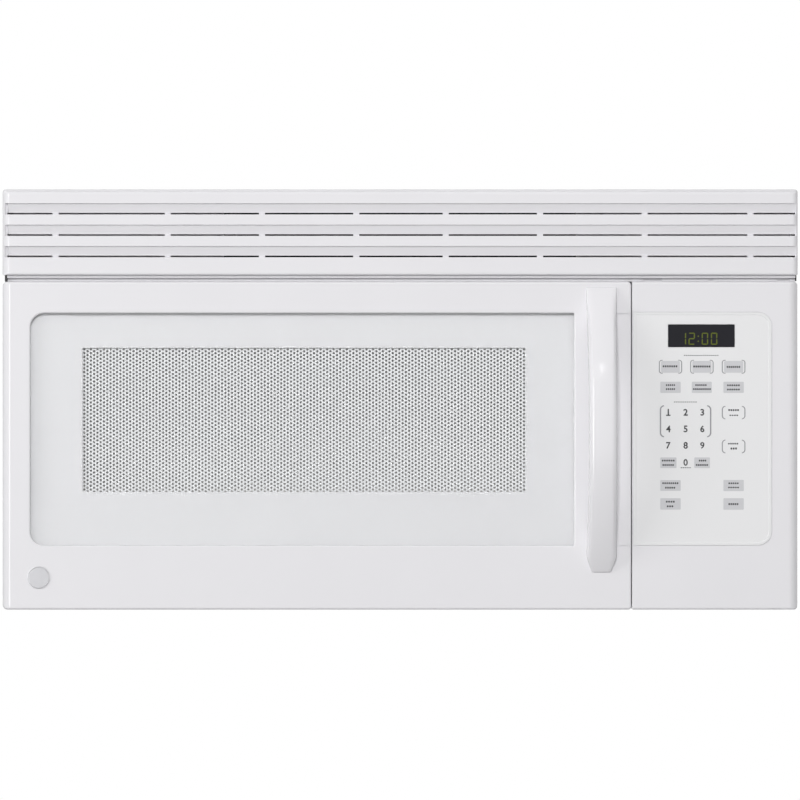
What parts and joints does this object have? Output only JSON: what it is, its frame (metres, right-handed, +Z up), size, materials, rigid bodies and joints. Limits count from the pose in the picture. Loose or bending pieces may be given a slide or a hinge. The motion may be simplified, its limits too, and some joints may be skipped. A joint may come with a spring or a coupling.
{
  "type": "over the range microwave",
  "caption": "Wall-hung microwave oven with a left-hinged windowed door, bow handle, key panel, louvred top grille, turntable, cooktop hood filters, blowers and lamp.",
  "frame": {"origin": "middle of the wall plate's rear face, where the object meets the wall", "axes": "+X to the right seen from the front, +Y into the wall, +Z up; the door faces -Y"},
  "size_m": [0.759, 0.4263, 0.4039],
  "materials": {
    "galvanised": "spangled zinc coating",
    "white_paint": "semi-gloss white paint",
    "grey_paint": "semi-gloss light grey paint",
    "screen_paint": "white enamel on perforated steel",
    "white_plastic": "gloss white moulding",
    "choke_plastic": "grey moulding",
    "glass": "clear",
    "smoked_lens": "dark display lens",
    "membrane": "satin printed key sheet",
    "badge": "plain silver disc",
    "zinc_steel": "zinc plated",
    "aluminium": "mill",
    "charcoal": "granular charcoal in a frame",
    "black_plastic": "matt black moulding",
    "ceramic": "unglazed white",
    "board": "green circuit board",
    "iron_core": "laminated steel",
    "copper": "lacquered copper winding",
    "mica": "mica sheet",
    "nylon": "natural nylon"
  },
  "bodies": {
    "case": {"wall_plate": "galvanised", "outer_case": "white_paint", "rear_panel": "galvanised", "base_panel": "grey_paint", "front_plate": "white_paint", "cavity_liner": "white_paint", "cavity_lamp": "ceramic", "control_panel_frame": "white_plastic", "key_overlay": "membrane", "display_window": "smoked_lens", "control_board": "board", "vent_grille": "white_plastic", "grille_screw_left": "zinc_steel", "grille_screw_right": "zinc_steel", "charcoal_filter": "charcoal", "vent_motor": "zinc_steel", "vent_scroll_left": "galvanised", "vent_scroll_right": "galvanised", "cooktop_lamp_socket": "ceramic", "cooktop_lamp_bulb": "glass", "turntable_motor": "zinc_steel", "waveguide": "galvanised", "waveguide_cover": "mica", "magnetron": "aluminium", "transformer_core": "iron_core", "transformer_primary": "copper", "transformer_secondary": "copper", "hv_capacitor": "aluminium", "fan_shroud": "galvanised", "cooling_fan_motor": "zinc_steel", "latch_board": "black_plastic", "interlock_switch_lower": "black_plastic", "interlock_switch_upper": "black_plastic", "hinge_bracket_upper": "zinc_steel", "hinge_bracket_lower": "zinc_steel", "cord_gland": "black_plastic"},
    "door": {"door_frame": "white_plastic", "door_window": "glass", "door_screen": "screen_paint", "choke_cover": "choke_plastic", "door_handle": "white_plastic", "handle_screw_lower": "zinc_steel", "handle_screw_upper": "zinc_steel", "door_badge": "badge", "latch_spring": "zinc_steel"},
    "latch": {"latch_bar": "nylon"},
    "coupler": {"turntable_coupler": "nylon"},
    "tray": {"glass_tray": "glass"},
    "ring": {"roller_ring": "nylon"},
    "roller_1": {"tray_roller_1": "nylon"},
    "roller_2": {"tray_roller_2": "nylon"},
    "roller_3": {"tray_roller_3": "nylon"},
    "filter_left": {"grease_filter_left": "aluminium"},
    "filter_right": {"grease_filter_right": "aluminium"},
    "lamp_flap": {"lamp_cover": "glass", "lamp_cover_screw": "zinc_steel"},
    "vent_wheels": {"vent_rotor": "black_plastic"},
    "cooling_fan": {"cooling_fan_blade": "black_plastic"},
    "plunger_lower": {"interlock_plunger_lower": "nylon"},
    "plunger_upper": {"interlock_plunger_upper": "nylon"}
  },
  "joints": [
    {"name": "door_hinge", "type": "hinge", "parent": "case", "child": "door", "pos_m": [-0.3705, -0.352, 0], "axis": [0, 0, -1], "range_deg": [0, 100]},
    {"name": "latch_lift", "type": "slide", "parent": "door", "child": "latch", "axis": [0, 0, 1], "range_m": [0, 0.004], "stiffness_N_per_m": 400, "springref_m": -0.006},
    {"name": "turntable_spin", "type": "hinge", "parent": "case", "child": "coupler", "pos_m": [-0.0898, -0.17875, -0.12], "axis": [0, 0, 1], "continuous": true},
    {"name": "tray_lift", "type": "slide", "parent": "coupler", "child": "tray", "axis": [0, 0, 1], "range_m": [0, 0.02]},
    {"name": "ring_spin", "type": "hinge", "parent": "case", "child": "ring", "pos_m": [-0.0898, -0.17875, -0.1232], "axis": [0, 0, 1], "continuous": true},
    {"name": "roller_1_spin", "type": "hinge", "parent": "ring", "child": "roller_1", "pos_m": [-0.0898, -0.08375, -0.1232], "axis": [0, 1, 0], "continuous": true},
    {"name": "roller_2_spin", "type": "hinge", "parent": "ring", "child": "roller_2", "pos_m": [-0.17207, -0.22625, -0.1232], "axis": [-0.866, -0.5, 0], "continuous": true},
    {"name": "roller_3_spin", "type": "hinge", "parent": "ring", "child": "roller_3", "pos_m": [-0.00753, -0.22625, -0.1232], "axis": [0.866, -0.5, 0], "continuous": true},
    {"name": "filter_left_slide", "type": "slide", "parent": "case", "child": "filter_left", "axis": [0, 1, 0], "range_m": [0, 0.01]},
    {"name": "filter_right_slide", "type": "slide", "parent": "case", "child": "filter_right", "axis": [0, 1, 0], "range_m": [0, 0.01]},
    {"name": "lamp_cover_hinge", "type": "hinge", "parent": "case", "child": "lamp_flap", "pos_m": [0, -0.2014, -0.2004], "axis": [1, 0, 0], "range_deg": [0, 90]},
    {"name": "vent_rotor_spin", "type": "hinge", "parent": "case", "child": "vent_wheels", "pos_m": [0, -0.0653, 0.1443], "axis": [1, 0, 0], "continuous": true},
    {"name": "cooling_fan_spin", "type": "hinge", "parent": "case", "child": "cooling_fan", "pos_m": [0.27515, -0.065, -0.036], "axis": [0, 1, 0], "continuous": true},
    {"name": "plunger_lower_press", "type": "slide", "parent": "case", "child": "plunger_lower", "axis": [1, 0, 0], "range_m": [0, 0.0012], "stiffness_N_per_m": 300, "springref_m": -0.002},
    {"name": "plunger_upper_press", "type": "slide", "parent": "case", "child": "plunger_upper", "axis": [1, 0, 0], "range_m": [0, 0.0012], "stiffness_N_per_m": 300, "springref_m": -0.002}
  ],
  "couplings": [
    {"joint": "ring_spin", "follows": "turntable_spin", "ratio": 0.5},
    {"joint": "roller_1_spin", "follows": "turntable_spin", "ratio": -6.3333},
    {"joint": "roller_2_spin", "follows": "turntable_spin", "ratio": -6.3333},
    {"joint": "roller_3_spin", "follows": "turntable_spin", "ratio": -6.3333}
  ]
}
